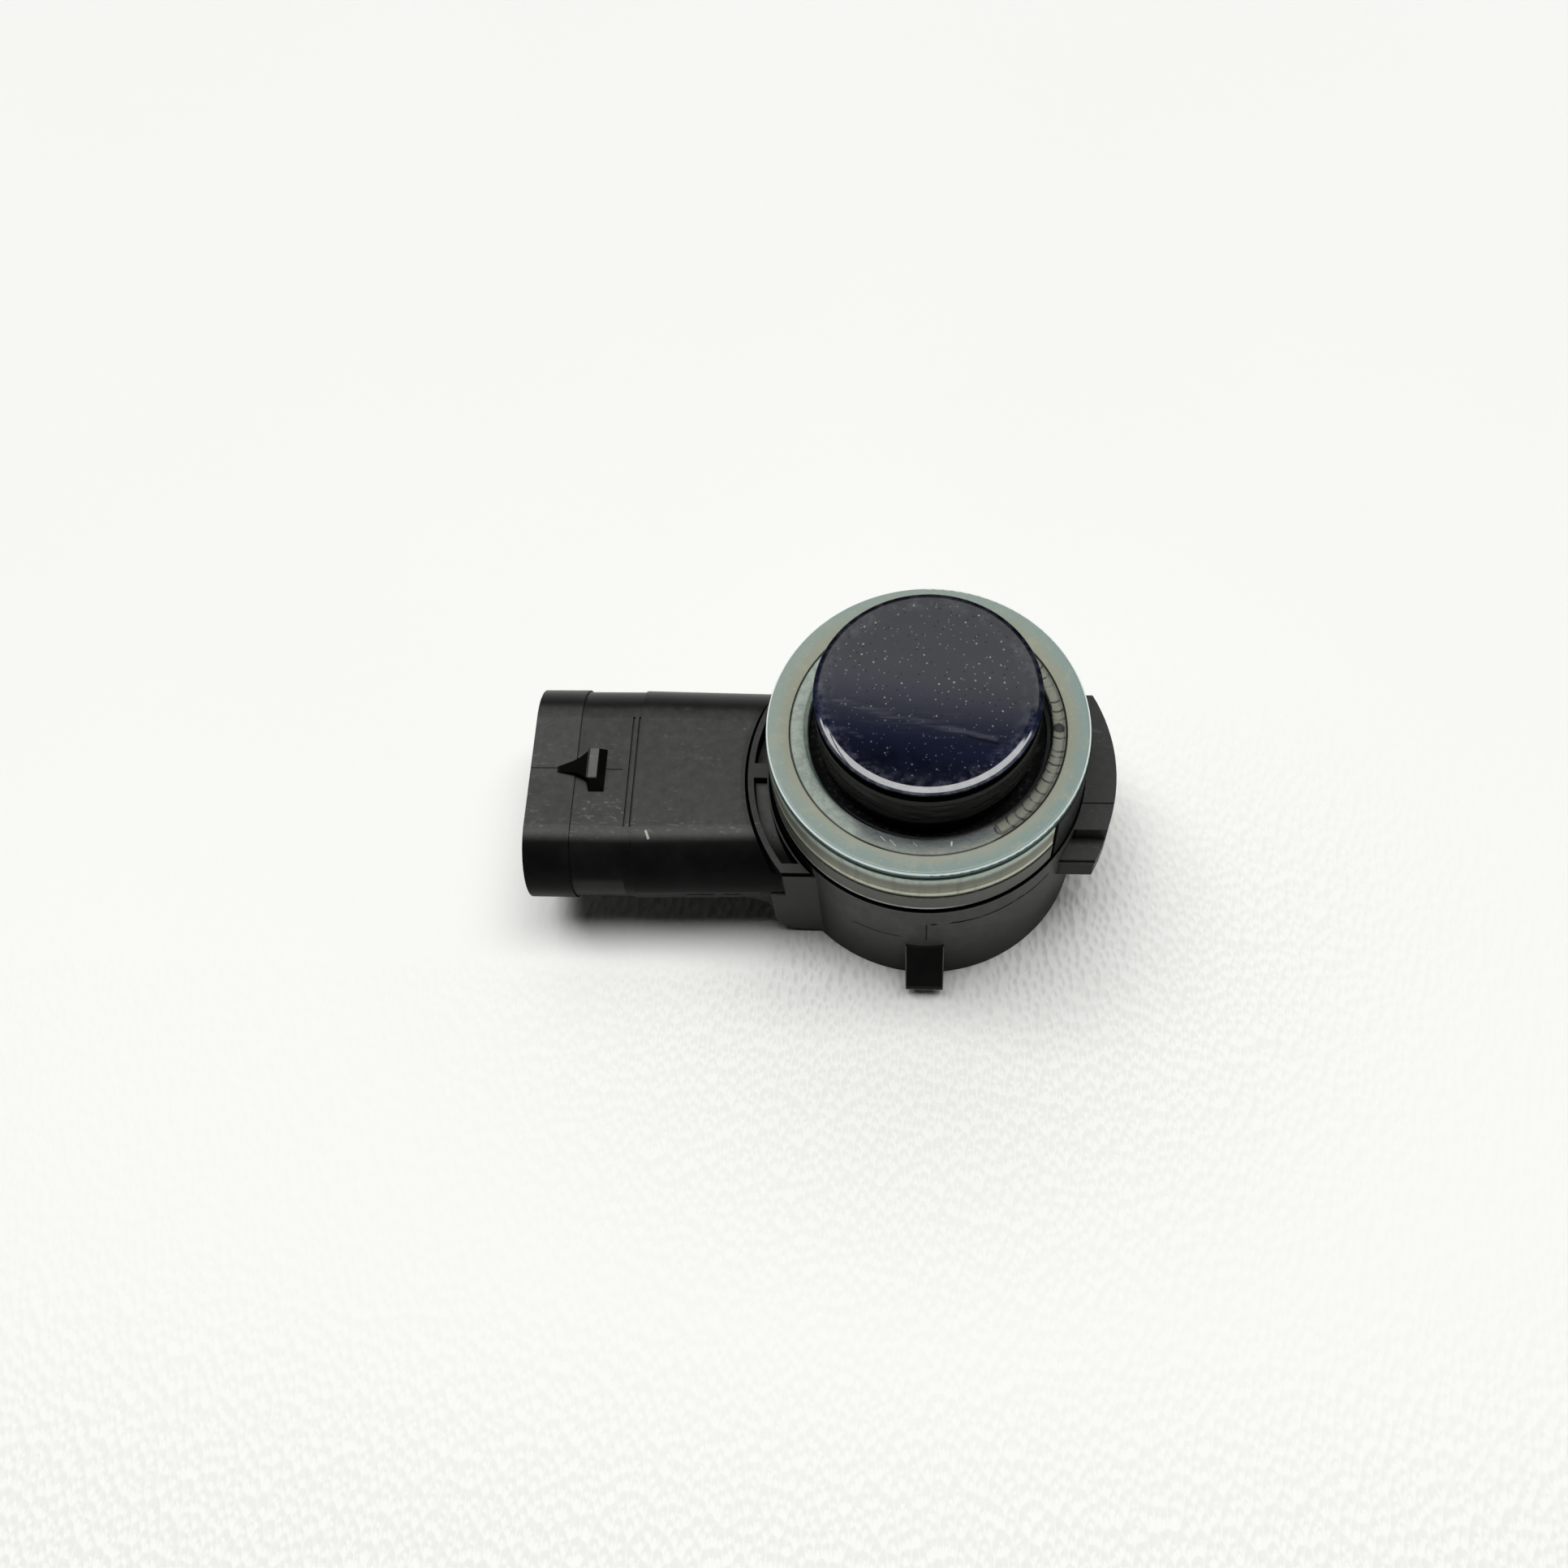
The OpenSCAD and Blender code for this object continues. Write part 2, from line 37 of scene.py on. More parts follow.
from mathutils import Matrix, Vector

MM = 0.001

# Places on the solids that the finishes follow, in millimetres.
BARREL_R = 11.55
BLOCK_FRONT = -8.35
POCKET_R = 12.35
RING_STEP = 15.38
FACE_EDGE = 23.85
BEAD_SHIFT = 0.25

# Rope of sealant, in millimetres and degrees round the sensing axis; the angles of its creases.
ROPE_R, ROPE_HALF, ROPE_Z, ROPE_RISE = 9.07, 0.47, 19.06, 0.20
ROPE_START, ROPE_END, ROPE_TAIL = -59.5, 47.0, 2.6
ROPE_MIDDLE = -6.0
CREASES = (42.0, 36.0, 29.5, 24.5, 19.8, 11.5, 6.6, 2.5, -6.5, -13.0,
           -15.7, -19.5, -23.6, -28.2, -34.3, -39.1, -44.0, -48.7, -53.6)


class Value:
    """One output socket of a finish; arithmetic on it adds the Math nodes."""

    def __init__(self, finish, socket):
        self.finish = finish
        self.socket = socket

    def math(self, operation, *others):
        return self.finish.math(operation, self, *others)

    def __add__(self, other):
        return self.math("ADD", other)

    __radd__ = __add__

    def __sub__(self, other):
        return self.math("SUBTRACT", other)

    def __rsub__(self, other):
        return self.finish.math("SUBTRACT", other, self)

    def __mul__(self, other):
        return self.math("MULTIPLY", other)

    __rmul__ = __mul__

    def __truediv__(self, other):
        return self.math("DIVIDE", other)

    def __rtruediv__(self, other):
        return self.finish.math("DIVIDE", other, self)

    def __neg__(self):
        return self * -1.0

    def abs(self):
        return self.math("ABSOLUTE")

    def sqrt(self):
        return self.math("SQRT")

    def sin(self):
        return self.math("SINE")

    def least(self, other):
        return self.math("MINIMUM", other)

    def most(self, other):
        return self.math("MAXIMUM", other)

    def rise(self, low, high):
        """0 below low, 1 above high, smooth between; low above high turns it round."""
        if low > high:
            return 1.0 - self.rise(high, low)
        return self.finish.node("ShaderNodeMapRange", {"interpolation_type": "SMOOTHSTEP"},
                                {"Value": self, "From Min": low, "From Max": high})

    def band(self, middle, half, soft):
        """1 within half of middle, falling to 0 over soft."""
        return (self - middle).abs().rise(half + soft, half)


class Finish:
    """A material, or the room's light, made from nodes."""

    def __init__(self, owner):
        owner.use_nodes = True
        self.tree = owner.node_tree
        self.tree.nodes.clear()

    def node(self, kind, settings, sockets, output=0):
        made = self.tree.nodes.new(kind)
        for name, setting in settings.items():
            setattr(made, name, setting)
        for name, given in sockets.items():
            socket = made.inputs[name]
            if isinstance(given, Value):
                self.tree.links.new(given.socket, socket)
            else:
                socket.default_value = given
        return Value(self, made.outputs[output] if len(made.outputs) else None)

    def math(self, operation, *given):
        return self.node("ShaderNodeMath", {"operation": operation}, dict(enumerate(given)))

    def mix(self, share, a, b):
        """Colour a where share is 0, colour b where it is 1."""
        return self.node("ShaderNodeMix", {"data_type": "RGBA"}, {0: share, 6: paint(a), 7: paint(b)}, 2)

    def place(self):
        """Millimetres in the sensor's frame: the point itself and its x, y, z."""
        spot = self.node("ShaderNodeTexCoord", {}, {}, "Object")
        spot = self.node("ShaderNodeVectorMath", {"operation": "SCALE"}, {0: spot, "Scale": 1.0 / MM})
        return (spot,) + self.parts(spot)

    def parts(self, spot):
        return tuple(self.node("ShaderNodeSeparateXYZ", {}, {0: spot}, axis) for axis in "XYZ")

    def noise(self, spot, per_mm, detail=2.0, rough=0.5, kind="3D"):
        return self.node("ShaderNodeTexNoise", {"noise_dimensions": kind},
                         {"Vector": spot, "Scale": per_mm, "Detail": detail, "Roughness": rough}, "Fac")

    def grains(self, spot, per_mm, size_mm, share, kind="3D"):
        """Scattered round grains: only this share of the cells holds one, some fainter than others."""
        settings = {"voronoi_dimensions": kind, "feature": "F1"}
        sockets = {"Vector": spot, "Scale": per_mm}
        near = self.node("ShaderNodeTexVoronoi", settings, sockets, "Distance")
        lot = self.parts(self.node("ShaderNodeTexVoronoi", settings, sockets, "Color"))[0]
        size = size_mm * per_mm
        return near.rise(size, size * 0.45) * lot.rise(1.0 - share, 1.0 - share * 0.5)

    def stretched(self, spot, size, turn=0.0):
        """The point turned about Z and scaled along each axis."""
        return self.node("ShaderNodeMapping", {},
                         {"Vector": spot, "Rotation": (0.0, 0.0, turn), "Scale": size})

    def stroke(self, x, y, start, end, half, soft):
        """A short straight mark between two points of the plan view."""
        length = math.dist(start, end)
        ux, uy = (end[0] - start[0]) / length, (end[1] - start[1]) / length
        along = (x - start[0]) * ux + (y - start[1]) * uy
        across = (y - start[1]) * ux - (x - start[0]) * uy
        return across.band(0.0, half, soft) * along.band(length / 2, length / 2 - soft, 2 * soft)

    def strokes(self, x, y, *marks):
        """Several such marks over each other, each with its strength first."""
        return most_of(*(self.stroke(x, y, *mark[1:]) * mark[0] for mark in marks))

    def softened(self, edge_mm, height, strength, distance_mm):
        """A normal with rounded edges and a fine relief on top."""
        edge = self.node("ShaderNodeBevel", {"samples": 4}, {"Radius": edge_mm * MM})
        return self.relief(height, strength, distance_mm, edge)

    def relief(self, height, strength, distance_mm, under=None):
        """A normal bent by a height, on top of another normal if one is given."""
        sockets = {"Strength": strength, "Distance": distance_mm * MM, "Height": height}
        if under is not None:
            sockets["Normal"] = under
        return self.node("ShaderNodeBump", {}, sockets)

    def surface(self, **sockets):
        shader = self.node("ShaderNodeBsdfPrincipled", {}, sockets)
        self.node("ShaderNodeOutputMaterial", {}, {"Surface": shader})


def paint(colour):
    """A colour as a socket takes it."""
    return colour if isinstance(colour, Value) else (*colour, 1.0)


def most_of(*masks):
    """The strongest of several masks."""
    return reduce(Value.most, masks)


def away(x, y, centre=(0.0, 0.0)):
    """Distance from a centre in the plan view."""
    dx, dy = x - centre[0], y - centre[1]
    return (dx * dx + dy * dy).sqrt()


def bearing(x, y):
    """Angle round the sensing axis, in degrees."""
    return y.math("ARCTAN2", x) * (180.0 / math.pi)


def finish_for(name, *pieces):
    """A new material, set on these nodes."""
    material = bpy.data.materials.new(name)
    for piece in pieces:
        mesh = nodes[piece].data
        mesh.materials.clear()
        mesh.materials.append(material)
    return Finish(material)


def housing_finish():
    """Black moulded plastic: satin and dusty where it faces up, dull and dark on its fronts."""
    f = finish_for("housing_plastic", "housing")
    spot, x, y, z = f.place()
    r = away(x, y)
    turn = bearing(x, y)
    lean, level = f.parts(f.node("ShaderNodeNewGeometry", {}, {}, "Normal"))[1:]
    up = level.rise(0.93, 0.996)
    flow = f.noise(spot, 0.35, 3.0, 0.6)
    speck = f.noise(spot, 9.0, 2.0)
    colour = f.mix(flow.rise(0.3, 0.75), (0.0045, 0.0045, 0.0046), (0.0090, 0.0090, 0.0092))
    # Painted reflection of the lit table: a paler, mottled tone on the barrel's wall, fading downwards
    # and towards the neck block, and a painted highlight along the barrel's top edge; fainter on the
    # front of that block and on the ends of the stepped lug.
    barrel = r.band(BARREL_R, 0.04, 0.05) * level.band(0.0, 0.3, 0.1) * turn.rise(-138.0, -114.0)
    block = y.band(BLOCK_FRONT, 0.06, 0.04) * x.band(-8.8, 4.6, 0.8) * level.band(0.0, 0.6, 0.2)
    mottle = f.noise(f.stretched(spot, (1.0, 1.0, 0.45)), 0.9, 4.0, 0.65)
    barrel_table_reflection = barrel * (z.rise(0.5, 11.5) + z.band(12.52, 0.10, 0.08) * 0.4) * (mottle * 0.9 + 0.5)
    ends = x.rise(9.0, 9.6) * r.rise(11.75, 11.85) * level.band(0.0, 0.3, 0.1)
    painted_table_reflection = most_of(barrel_table_reflection * 0.9, block * 0.5, ends * 0.25).least(1.0)
    colour = f.mix(painted_table_reflection, colour, (0.082, 0.082, 0.079))
    # Handling dust: a thin film, specks in patches, rubbed marks along the shoulder and the waist; along
    # the shoulder they are also a painted highlight, and the back half of the collar's top is painted
    # paler, a painted reflection.
    patch = f.noise(spot, 0.5, 3.0).rise(0.46, 0.66)
    specks = f.grains(spot, 2.6, 0.07, 0.5) * patch
    film = f.noise(spot, 1.3, 4.0, 0.6)
    waist = x.band(-24.42, 1.9, 0.1)
    scuff_and_highlight_streaks = f.noise(f.stretched(spot, (1.0, 2.2, 1.0)), 1.5, 5.0, 0.7).rise(0.53, 0.72)
    # Along the shoulder the rubbed marks are also a painted highlight on the edge.
    shoulder_scuffs_and_highlight = y.band(-4.55, 0.3, 0.6) * x.rise(-11.0, -13.0)
    wear_and_highlight = most_of(patch * 0.14, shoulder_scuffs_and_highlight * 0.22, waist * y.band(-3.6, 0.6, 1.6) * 0.36)
    fleck = f.stroke(x, y, (-20.68, -4.9), (-20.42, -5.55), 0.06, 0.05)
    # Painted reflection: the back half of the collar's top is painted paler.
    collar = x.rise(-26.40, -26.46) * y.rise(-1.5, 0.5)
    flange = x.rise(-5.0, -6.0)
    inlet = flange * z.rise(11.64, 11.56)
    floors = inlet * r.band(POCKET_R, 0.45, 0.05)
    film = film * (0.105 - r.rise(13.95, 13.8) * 0.05 + floors * 0.09)
    dust_and_painted_light = up * (film + collar * 0.03 + specks * 0.16 + scuff_and_highlight_streaks * wear_and_highlight) + fleck * 0.9
    # Paler bloom low on the waist; along the parting line of the connector's front, a pale line that is
    # a painted highlight on the flash.
    front = y.rise(-7.7, -8.1)
    bloom_and_highlight = front * (waist * z.band(8.1, 0.5, 0.8) * 0.07
                     + z.band(7.62, 0.05, 0.07) * x.band(-17.0, 4.5, 0.4) * 0.08)
    # Painted highlights: the lit top of the latch and the light outline of the snap lug.
    latch = z.rise(12.60, 12.66) * x.band(-24.9, 0.6, 0.05)
    lug = x.band(0.0, 1.5, 0.05) * r.rise(11.62, 11.70) * z.rise(7.0, 6.5)
    outline = lug * x.abs().band(1.40, 0.03, 0.03).most(z.band(1.20, 0.04, 0.05))
    painted_edge_highlight = (latch * 0.15).most(outline * 0.35)
    colour = f.mix((dust_and_painted_light + bloom_and_highlight + painted_edge_highlight).least(1.0), colour, (0.42, 0.42, 0.40))
    # Mould marks: broken flash round the barrel, a fainter run on its left, a hairline between them, and
    # the parting line along the top of the connector; along its front, dark dashes that are painted
    # shadows under the flash.
    wall = r.band(BARREL_R, 0.02, 0.05) * y.rise(0.0, -1.0)
    dashes = f.noise(f.node("ShaderNodeCombineXYZ", {}, {"X": turn}), 0.15, 1.0, 0.5).rise(0.34, 0.50)
    sway = (f.noise(spot, 0.6, 1.0) - 0.5) * 0.3
    flash = (z + sway).band(10.42, 0.05, 0.10) * dashes * turn.band(-64.0, 23.0, 1.5)
    run = z.band(7.55, 0.04, 0.06) * turn.band(-108.0, 8.0, 2.0) * 0.7
    hairline = (turn * 0.2 + 17.9).band(0.0, 0.03, 0.04) * z.band(8.8, 1.5, 0.2) * 0.6
    parting = y.band(0.12, 0.025, 0.05) * (x.rise(-27.4, -27.7) + x.band(-23.5, 0.6, 0.1)) * up
    # Painted shadow: dark dashes under the flash on the connector's front.
    seam_shadow = front * z.band(7.38, 0.07, 0.06) * x.band(-16.8, 0.9, 0.3).most(x.band(-14.4, 0.5, 0.2))
    marks = most_of(wall * most_of(flash, run, hairline), parting * 0.6, seam_shadow * 0.8)
    # Painted shade: unlit hollows (pocket walls and their deep ends, the gaps along the flange and its
    # ledge), the gap under the ring's skirt at the barrel's rim, the latch's ramp and the face of the
    # snap lug.
    deep = r.band(POCKET_R, 0.55, 0.04) * y.rise(-3.6, -6.2)
    hollow = inlet * y.rise(-7.60, -7.50) * r.band(12.85, 0.05, 0.04).most(deep)
    arcs = (r.band(13.41, 0.12, 0.04) * z.rise(11.52, 11.45)).most(r.band(11.62, 0.10, 0.03))
    gaps = flange * z.rise(9.5, 10.0) * arcs * y.band(0.0, 8.12, 0.10)
    ledge = inlet * y.band(-8.29, 0.08, 0.03) * z.rise(11.2, 11.28)
    ramp = x.band(-26.5, 1.3, 0.05) * z.rise(11.54, 11.60)
    rim = z.band(12.80, 0.10, 0.05) * r.band(11.45, 0.3, 0.1)
    shade = most_of(marks, lug * (1.0 - outline) * 0.45, rim, hollow * 0.9, gaps, ledge, ramp * 0.75)
    colour = f.mix(shade, colour, (0.0008, 0.0008, 0.0008))
    grain = f.softened(0.10, speck * 0.4 + f.noise(spot, 2.6, 2.0) * 0.3, 0.35, 0.02)
    # Sheen only on what faces up or leans back, so that the fronts stay dull.
    sheen = (up * 0.35).most(lean.rise(0.15, 0.5) * level.rise(0.05, 0.3) * 0.5)
    f.surface(**{"Base Color": colour, "Specular IOR Level": 0.04,
                 "Roughness": (0.36 + speck * 0.10 + dust_and_painted_light * 0.4 - flow * 0.04 + shade * 0.5).least(0.95),
                 "Coat Weight": sheen * (1.0 - shade), "Coat Roughness": 0.4,
                 "Normal": f.relief(-marks, 1.0, 0.10, grain)})


def rear_cover_finish():
    """Satin black plastic with faint scratches."""
    f = finish_for("rear_cover_plastic", "rear_cover", "transducer_carrier")
    spot = f.place()[0]
    speck = f.noise(spot, 9.0, 2.0)
    scratches = f.noise(f.stretched(spot, (0.3, 5.0, 1.0), 0.6), 1.0, 3.0).rise(0.6, 0.7)
    flow = f.noise(spot, 0.35, 3.0)
    colour = f.mix(flow.rise(0.3, 0.75), (0.011, 0.011, 0.0112), (0.02, 0.02, 0.0202))
    f.surface(**{"Base Color": f.mix(scratches * 0.12, colour, (0.2, 0.2, 0.2)),
                 "Roughness": 0.42 + speck * 0.2,
                 "Normal": f.softened(0.1, speck, 0.4, 0.02)})


def cup_finish():
    """Dark navy metallic paint under a clear coat on the face, black wall with a grey paint edge."""
    f = finish_for("cup_paint", "membrane_cup")
    spot, x, y, z = f.place()
    r = away(x, y)
    turn = bearing(x, y)
    face = z.rise(FACE_EDGE - 0.03, FACE_EDGE + 0.03)
    inside = r.rise(7.02, 6.92)
    # Metal flakes in loose clusters; painted glints make them bright on the upper part of the face,
    # where it mirrors the pale wall, and bluish below.
    slant = y + x * 0.24
    painted_glint_upper = (slant + 1.9).rise(-1.5, 1.5)
    cluster = f.noise(spot, 0.45, 2.0).rise(0.36, 0.56) * 0.7 + 0.3
    flakes = f.grains(spot, 1.15, 0.085, 0.55, "2D") * cluster
    even = (1.0, 1.0, 1.0)
    fine = f.grains(f.stretched(spot, even, 0.5), 2.2, 0.055, 0.35, "2D")
    flakes = flakes.most(fine * 0.6) * inside
    pits = f.grains(f.stretched(spot, even, 0.8), 1.5, 0.09, 0.5, "2D") * inside
    cloud = f.noise(spot, 0.7, 4.0, 0.6)
    navy = f.mix(cloud.rise(0.3, 0.7), (0.0022, 0.0030, 0.0078), (0.0042, 0.0054, 0.0130))
    # Painted reflection: a paler blue band along the line where the face's mirrored wall ends.
    painted_reflection_edge = (slant + 2.0).band(0.0, 1.8, 1.6)
    navy = f.mix(painted_reflection_edge * 0.8, navy, (0.0055, 0.0078, 0.0210))
    haze = r.rise(6.0, 7.0) * f.noise(spot, 1.6, 4.0, 0.6).rise(0.42, 0.68)
    navy = f.mix(haze * 0.16, navy, (0.16, 0.165, 0.2))
    # Wiped marks across the face, the longest ending in a bright stub over a dark one.
    wiped = f.noise(f.stretched(spot, (0.35, 4.0, 1.0), 0.26), 1.0, 4.0, 0.65)
    streak = f.strokes(
        x, y,
        (wiped.rise(0.40, 0.62) * 0.6, (-6.4, -0.7), (4.6, -3.65), 0.10, 0.30),
        (0.8, (1.6, -2.8), (4.6, -3.60), 0.06, 0.16),
        (wiped.rise(0.45, 0.6) * 0.7, (-3.4, -2.0), (1.5, -2.7), 0.08, 0.2),
        (wiped.rise(0.4, 0.6) * 0.6, (-6.2, -2.6), (-4.3, -3.5), 0.06, 0.2))
    smear = (y + x * 0.26 + 2.4).band(0.0, 0.5, 1.5) * wiped.rise(0.5, 0.75)
    colour = f.mix((streak * 0.07 + smear * 0.03).least(1.0), navy, (0.40, 0.40, 0.46))
    stub = f.stroke(x, y, (2.6, -3.38), (4.7, -3.93), 0.05, 0.08)
    colour = f.mix(stub * 0.85, colour, (0.001, 0.001, 0.003))
    colour = f.mix(flakes, colour, f.mix(painted_glint_upper, (0.09, 0.09, 0.13), (0.27, 0.245, 0.245)))
    # The coat on the rim: full at the back, a tapering crescent at the front, with a dark line inside it
    # where the paint runs thin, and none on the outermost edge.
    span = (turn + 92.0).abs() / 79.4
    ahead = span.rise(1.06, 0.98)
    cube = span * span * span
    crescent = (r - cube * cube * 0.34).rise(7.10, 7.14)
    split = (r - (turn + 153.0) * 0.0158).band(7.22, 0.02, 0.03) * turn.band(-138.5, 14.0, 2.0)
    gone = most_of(ahead * r.rise(6.95, 6.99) * (1.0 - crescent), split, r.rise(7.49, 7.55))
    coat = face * (1.0 - (pits * 0.5).most(gone * 0.94))
    # Wall: soft drawn lines, the grey paint edge, black above it.
    lines = f.noise(f.stretched(spot, (0.4, 0.4, 5.0)), 1.0, 3.0)
    wall = f.mix(lines.rise(0.35, 0.7), (0.016, 0.016, 0.016), (0.044, 0.044, 0.042))
    drawn = z.band(21.75, 0.05, 0.10).most(z.band(20.75, 0.04, 0.10)) * x.abs().rise(4.6, 6.2)
    edge = z.band(22.70, 0.22, 0.13)
    foot = z.band(19.95, 0.04, 0.06) * f.noise(spot, 0.9, 2.0).rise(0.4, 0.6)
    wall = f.mix(most_of(edge * 0.85, foot * 0.3, drawn * 0.6), wall, (0.062, 0.062, 0.06))
    wall = f.mix(z.rise(22.96, 23.08), wall, (0.0008, 0.0008, 0.001))
    f.surface(**{"Base Color": f.mix(face, wall, colour), "Specular IOR Level": 0.0,
                 "Roughness": 0.36 + (1.0 - face) * 0.3, "Metallic": face * 0.5,
                 "Coat Weight": coat + (1.0 - face) * z.rise(22.5, 22.0) * 0.26,
                 "Coat Roughness": 0.035, "Coat IOR": 1.66,
                 "Normal": f.relief(f.noise(spot, 1.2, 2.0), 0.06, 0.02)})


def silicone_finish():
    """Translucent silicone: grey teal on top, yellowish inwards, pale to grey down the skirt."""
    f = finish_for("ring_silicone", "decoupling_ring")
    spot, x, y, z = f.place()
    r = away(x, y)
    wobble = (f.noise(spot, 0.7, 3.0) - 0.5) * 0.7
    teal = f.mix((y - x).rise(-12.0, 12.0), (0.218, 0.290, 0.272), (0.254, 0.310, 0.280))
    sallow = f.mix(y.rise(-8.0, 0.0), (0.315, 0.33, 0.265), (0.275, 0.29, 0.225))
    top = f.mix((r + wobble).rise(9.9, 10.9), sallow, teal)
    patch = f.noise(spot, 0.8, 4.0, 0.65).rise(0.52, 0.70)
    top = f.mix(patch * 0.45, top, (0.345, 0.350, 0.270))
    top = f.mix(f.grains(spot, 1.7, 0.06, 0.35, "2D") * 0.3, top, (0.62, 0.66, 0.62))
    # Painted highlight: a bright line along the rounded outer edge of the top.
    top = f.mix(r.rise(11.18, 11.26), top, (0.84, 0.95, 0.95))
    # Side, from above: a dark line under the edge, painted shade in the groove there; a pale band;
    # beige; a bright line over the step, a painted highlight, and a dark line at the step, a painted
    # shadow; grey below it; and a bright lower edge, a painted highlight on the left half; all of it
    # darker by the connector, painted shade.
    uneven = z + wobble * 0.8
    side = f.mix(uneven.rise(18.0, 17.3), (0.62, 0.72, 0.62), (0.24, 0.25, 0.205))
    side = f.mix(uneven.rise(17.0, 16.4), side, (0.31, 0.32, 0.23))
    side = f.mix(z.band(15.84, 0.18, 0.08), side, (0.80, 0.82, 0.68))
    side = f.mix(z.rise(RING_STEP + 0.14, RING_STEP + 0.08), side, (0.10, 0.10, 0.092))
    side = f.mix(z.band(RING_STEP, 0.06, 0.06), side, (0.020, 0.022, 0.014))
    side = f.mix(z.band(13.30, 0.10, 0.08) * x.rise(4.0, 0.0) * 0.9, side, (0.50, 0.50, 0.48))
    side = f.mix(z.rise(18.30, 18.40), side, (0.066, 0.130, 0.116))
    side = f.mix(x.rise(-5.0, -8.5) * 0.5, side, (0.05, 0.06, 0.05))
    streak = f.noise(f.stretched(spot, (1.0, 1.0, 0.12)), 1.3, 3.0)
    side = f.mix(streak.rise(0.52, 0.75) * 0.35, side, (0.11, 0.115, 0.095))
    colour = f.mix(z.rise(18.93, 18.99), side, top)
    # Painted shade: near black inside the ring, below its top, where it meets the cup.
    deep = z.rise(18.35, 17.6) * r.rise(9.6, 9.3)
    colour = f.mix(deep, colour, (0.006, 0.007, 0.0065))
    grain = f.noise(spot, 2.6, 4.0, 0.65)
    colour = f.mix(grain.rise(0.5, 0.75) * 0.12, colour, (0.42, 0.44, 0.39))
    f.surface(**{"Base Color": colour, "Roughness": 0.32 + grain * 0.16, "Specular IOR Level": 0.1,
                 "Coat Weight": z.rise(18.9, 19.0) * 0.5, "Coat Roughness": 0.2,
                 "Normal": f.softened(0.12, f.noise(spot, 1.6, 3.0), 0.25, 0.04)})


def bead_finish():
    """Clear sealant over the joint: marbled grey, a crinkled rope of it away from the connector."""
    f = finish_for("bead_sealant", "sealing_bead")
    spot, x, y = f.place()[:3]
    r = away(x, y)
    turn = bearing(x, y)
    outer = away(x, y, (0.0, -BEAD_SHIFT))
    marble = f.noise(spot, 1.8, 4.0, 0.7)
    wobble = (f.noise(spot, 1.1, 2.0) - 0.5) * 0.35
    rope = (turn + wobble * 8.0).band(ROPE_MIDDLE, 52.5, 0.8) * (r + wobble).rise(8.62, 8.70)
    colour = f.mix(marble.rise(0.3, 0.7), (0.165, 0.19, 0.17), (0.245, 0.265, 0.228))
    # Pale and cloudy on the connector's side.
    cloudy = (x + wobble * 4.0).rise(-3.6, -5.6)
    cloud = f.mix(marble.rise(0.35, 0.65), (0.222, 0.268, 0.232), (0.325, 0.378, 0.330))
    colour = f.mix(cloudy, colour, cloud)
    # Dark and bluish towards the cup at the front, where the joint shows through.
    inner = (r + wobble * 0.6).rise(10.1, 8.9) * y.rise(1.0, -6.5) * (1.0 - cloudy * r.rise(8.6, 9.0))
    colour = f.mix(inner * (marble * 0.3 + 0.8).least(0.97), colour, (0.030, 0.048, 0.053))
    # Rope: brownish, painted paler along its crest and darker down its sides as the shading of a round
    # tube, with fine dark creases across it and a dark line inside it, both painted shade, and a dark
    # tip.
    across = (outer + wobble * 0.3).band(ROPE_R, 0.24, 0.22)
    rope_painted_shading = f.mix(across * (marble * 0.7 + 0.5).least(1.0), (0.125, 0.128, 0.102), (0.225, 0.230, 0.185))
    colour = f.mix(rope * 0.9, colour, rope_painted_shading)
    bow = outer - ROPE_R
    bent = turn - bow * bow * 6.0 + wobble * 2.0
    creases = most_of(*(bent.band(crease, 0.2, 0.45) for crease in CREASES))
    creases = creases * (f.noise(spot, 1.0, 2.0).rise(0.34, 0.54) * 0.75 + 0.25) * rope
    line = (r + wobble).band(8.60, 0.07, 0.06) * turn.band(ROPE_MIDDLE, 53.0, 0.8)
    tip = (turn + 58.5).band(0.0, 0.25, 0.35) * r.band(9.1, 0.4, 0.1)
    colour = f.mix(most_of(creases * 0.9, line * 0.95, tip * 0.7), colour, (0.012, 0.012, 0.010))
    # Painted shade: the dark well round the cup and a dark line along the bead's border; also a dark
    # blot in the rope.
    well = away(x, y, (0.15, -0.3)) + wobble * 0.25
    colour = f.mix(well.rise(8.56, 8.48), colour, (0.006, 0.0065, 0.0065))
    colour = f.mix(well.band(8.28, 0.03, 0.05) * 0.6, colour, (0.07, 0.07, 0.068))
    blot = away(x, y, (9.1, -0.2))
    colour = f.mix((blot + (marble - 0.5) * 0.3).rise(0.46, 0.30), colour, (0.008, 0.008, 0.007))
    border = outer.rise(9.53, 9.57) * (0.92 - turn.band(-84.0, 18.0, 8.0) * 0.5 - cloudy * 0.25)
    colour = f.mix(border, colour, (0.020, 0.023, 0.018))
    # Short pale fibres caught in the front.
    fibres = f.strokes(
        x, y,
        (0.5, (-2.45, -8.75), (-2.05, -9.2), 0.02, 0.03),
        (1.0, (1.70, -9.15), (1.72, -8.82), 0.04, 0.03),
        (0.6, (-3.1, -8.5), (-2.75, -8.85), 0.018, 0.025),
        (0.4, (-0.9, -8.9), (-0.6, -9.2), 0.015, 0.025))
    colour = f.mix(fibres * 0.85, colour, (0.6, 0.64, 0.62))
    f.surface(**{"Base Color": colour, "Roughness": 0.25 + marble * 0.2 + rope * 0.25,
                 "Coat Weight": 0.3 - rope * 0.25, "Coat Roughness": 0.15,
                 "Normal": f.softened(0.05, marble * 0.4 - creases * 0.5, 0.5, 0.12)})


